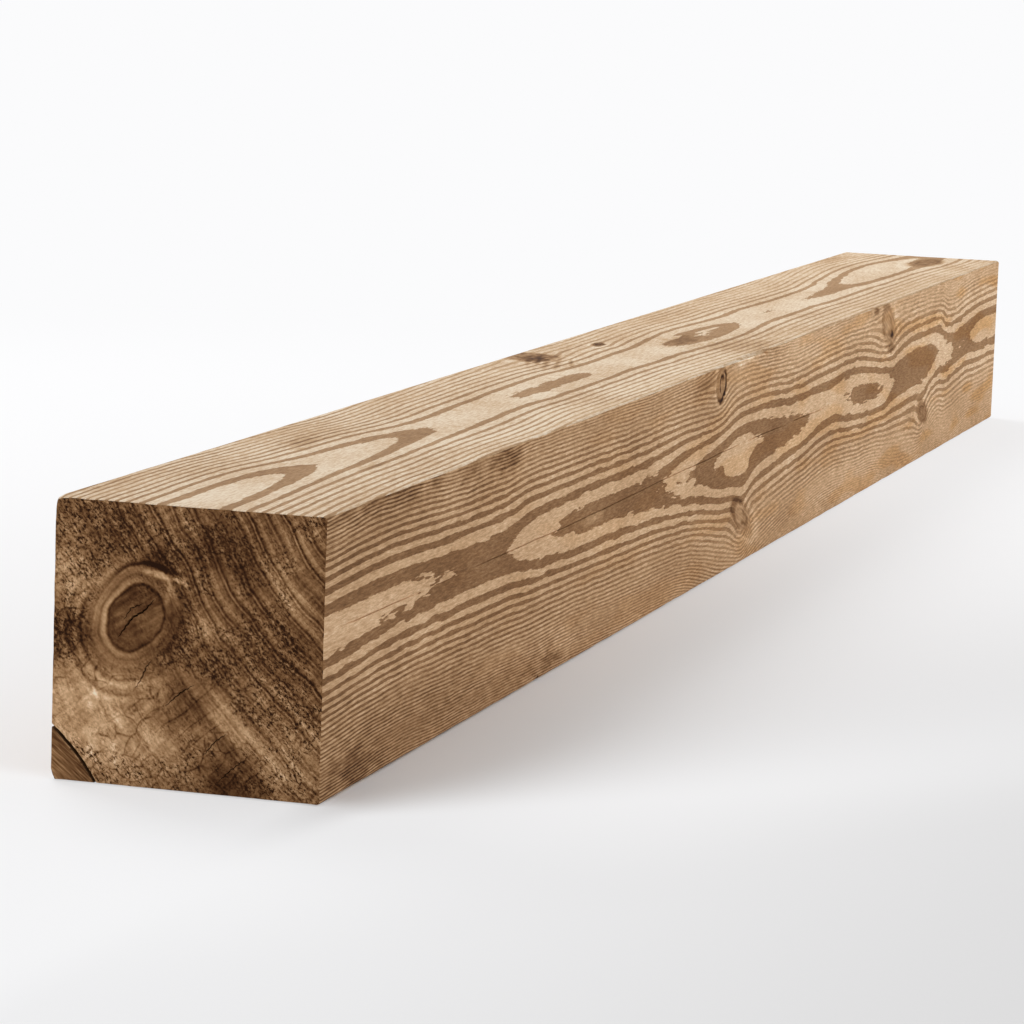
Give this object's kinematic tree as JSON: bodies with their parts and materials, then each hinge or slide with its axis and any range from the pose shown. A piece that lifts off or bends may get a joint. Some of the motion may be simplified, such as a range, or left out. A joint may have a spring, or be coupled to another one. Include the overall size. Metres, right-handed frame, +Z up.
{
  "type": "square timber",
  "caption": "Square-sawn length of pressure-treated softwood timber with eased long edges, square-cut ends, knots, and a ring shake at one corner, for posts, beams and edging.",
  "frame": {"origin": "centre of the timber's underside, on the floor that it lies on", "axes": "+X along the timber towards the end that has the ring shake, +Y across it towards the side with the knots, +Z up"},
  "size_m": [2.4384, 0.1906, 0.1905],
  "materials": {
    "treated_softwood": "planed, dry, matte, with growth-ring figure, knots and drying checks"
  },
  "bodies": {
    "root": {"timber": "treated_softwood"}
  },
  "joints": []
}
